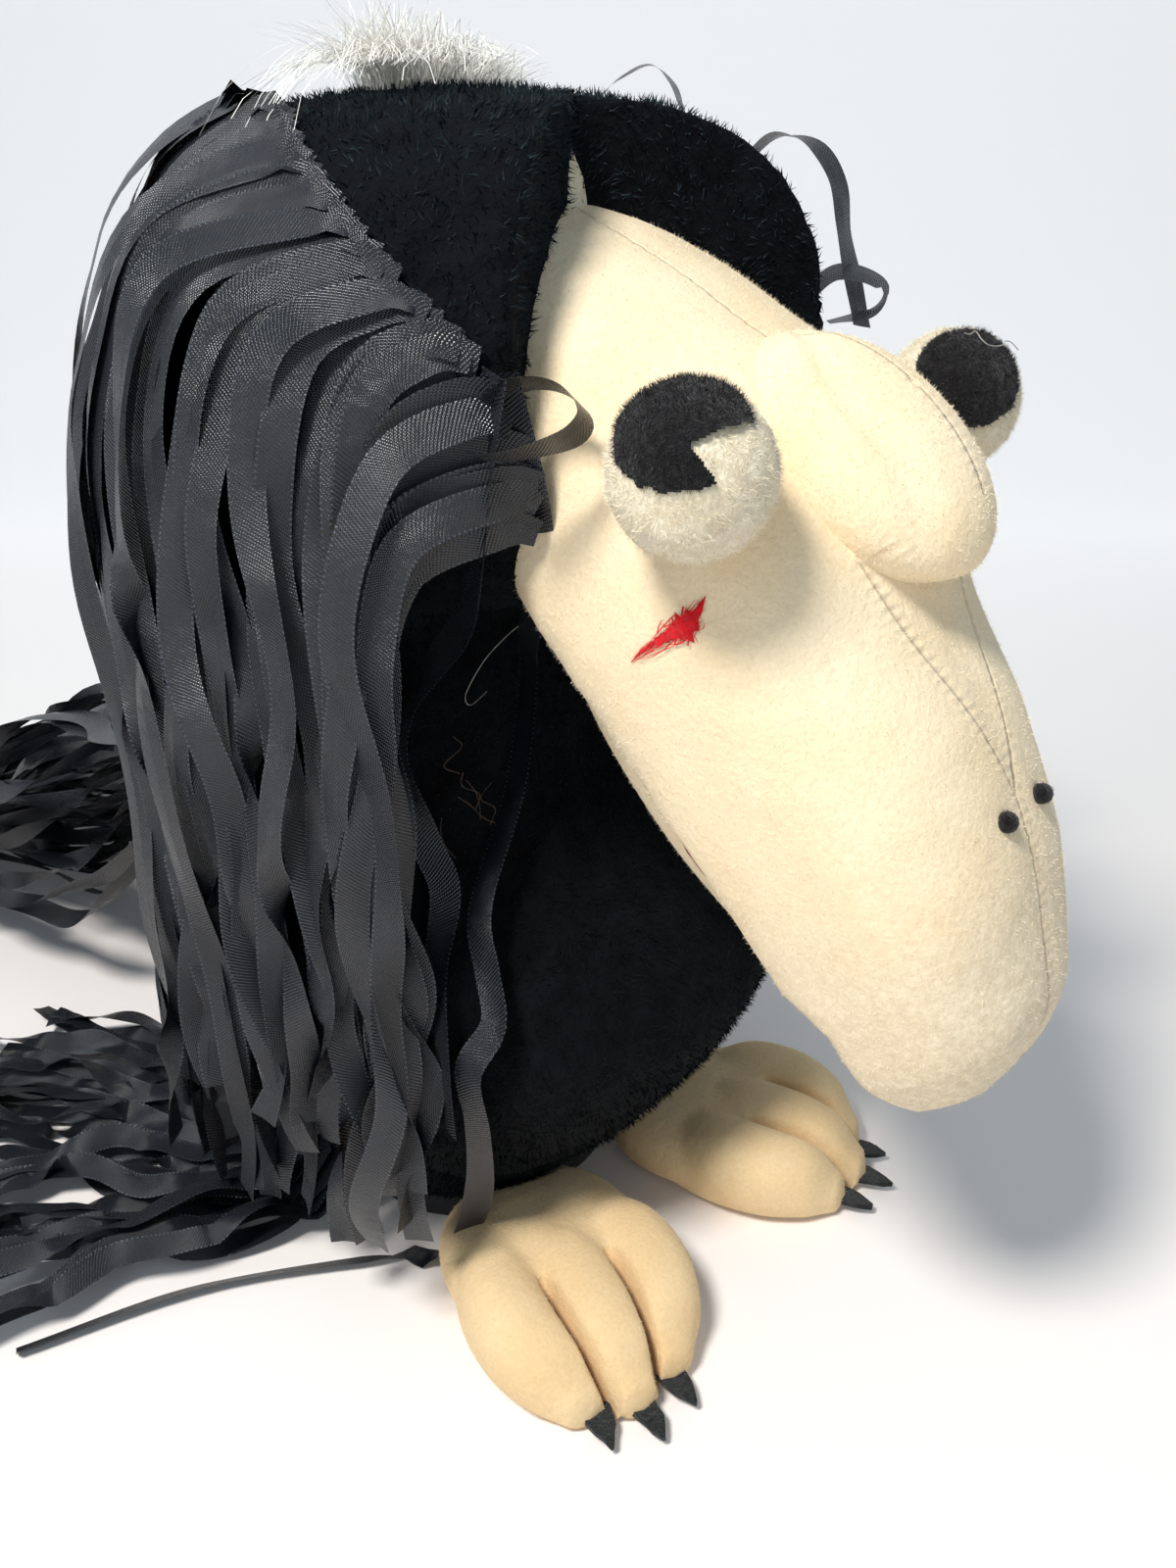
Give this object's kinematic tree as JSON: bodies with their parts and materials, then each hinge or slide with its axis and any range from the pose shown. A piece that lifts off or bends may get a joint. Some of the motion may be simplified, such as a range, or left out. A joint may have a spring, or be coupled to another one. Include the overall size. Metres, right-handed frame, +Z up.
{
  "type": "moving mouth puppet",
  "caption": "Bird hand puppet: hollow plush body with an arm tunnel, a drooping beak that opens, felted eyes, ribbon wings, a ribbon train and stuffed feet.",
  "frame": {"origin": "under the middle of the bounding box, on the table", "axes": "+Z up, the puppet faces -Y, +X is the puppet's left"},
  "size_m": [0.4718, 0.697, 0.42],
  "materials": {
    "plush": "short-pile black plush",
    "foam": "soft stuffing",
    "lining": "plain woven lining",
    "fleece": "cream fleece",
    "foot_fleece": "warm cream fleece",
    "board": "stiff fibre board",
    "mouth_cloth": "felt",
    "elastic": "woven elastic",
    "eye_wool": "needle-felted wool",
    "black_wool": "needle-felted wool",
    "red_wool": "needle-felted wool",
    "satin_ribbon": "black satin",
    "tuft_fibre": "pale shiny fibre"
  },
  "bodies": {
    "torso": {"body_plush": "plush", "body_foam": "foam", "arm_sleeve": "lining", "hem_band": "lining", "side_ribbons_left": "satin_ribbon", "side_ribbons_right": "satin_ribbon"},
    "head": {"head_plush": "plush", "head_foam": "foam", "beak_upper": "fleece", "brow_pad": "fleece", "palate_plate": "board", "palate_lining": "mouth_cloth", "mouth_hinge_roll": "mouth_cloth", "finger_strap": "elastic", "eye_left": "eye_wool", "eye_right": "eye_wool", "pupil_left": "black_wool", "pupil_right": "black_wool", "nostril_left": "black_wool", "nostril_right": "black_wool", "cheek_mark": "red_wool", "crown_tuft": "tuft_fibre", "wing_rear_left": "satin_ribbon", "wing_rear_right": "satin_ribbon"},
    "jaw": {"jaw_lining": "mouth_cloth", "jaw_plate": "board", "beak_lower": "fleece", "thumb_strap": "elastic"},
    "wing_left": {"wing_front_left": "satin_ribbon", "wing_side_left": "satin_ribbon"},
    "wing_right": {"wing_front_right": "satin_ribbon", "wing_side_right": "satin_ribbon"},
    "foot_left": {"foot_left": "foot_fleece", "claw_inner_left": "black_wool", "claw_middle_left": "black_wool", "claw_outer_left": "black_wool"},
    "foot_right": {"foot_right": "foot_fleece", "claw_inner_right": "black_wool", "claw_middle_right": "black_wool", "claw_outer_right": "black_wool"},
    "tail": {"train_left": "satin_ribbon", "train_middle": "satin_ribbon", "train_right": "satin_ribbon"}
  },
  "joints": [
    {"name": "head_nod", "type": "hinge", "parent": "torso", "child": "head", "pos_m": [0, -0.11916, 0.29], "axis": [1, 0, 0], "range_deg": [-8, 4], "stiffness_Nm_per_rad": 6, "springref_deg": -7.45},
    {"name": "jaw_open", "type": "hinge", "parent": "head", "child": "jaw", "pos_m": [0, -0.19983, 0.26735], "axis": [1, 0, 0], "range_deg": [0, 14], "stiffness_Nm_per_rad": 0.5, "springref_deg": -11.46},
    {"name": "wing_left_lift", "type": "hinge", "parent": "head", "child": "wing_left", "pos_m": [0.084, -0.17117, 0.3665], "axis": [0.145, -0.8218, -0.5511], "range_deg": [0, 35]},
    {"name": "wing_right_lift", "type": "hinge", "parent": "head", "child": "wing_right", "pos_m": [-0.084, -0.17117, 0.3665], "axis": [0.145, 0.8218, 0.5511], "range_deg": [0, 35]},
    {"name": "foot_left_splay", "type": "hinge", "parent": "torso", "child": "foot_left", "pos_m": [0.035, -0.16417, 0], "axis": [0, 0, 1], "range_deg": [-12, 12]},
    {"name": "foot_right_splay", "type": "hinge", "parent": "torso", "child": "foot_right", "pos_m": [-0.035, -0.16417, 0], "axis": [0, 0, 1], "range_deg": [-12, 12]},
    {"name": "tail_lift", "type": "hinge", "parent": "torso", "child": "tail", "pos_m": [0, -0.03716, 0.183], "axis": [1, 0, 0], "range_deg": [0, 18]}
  ]
}
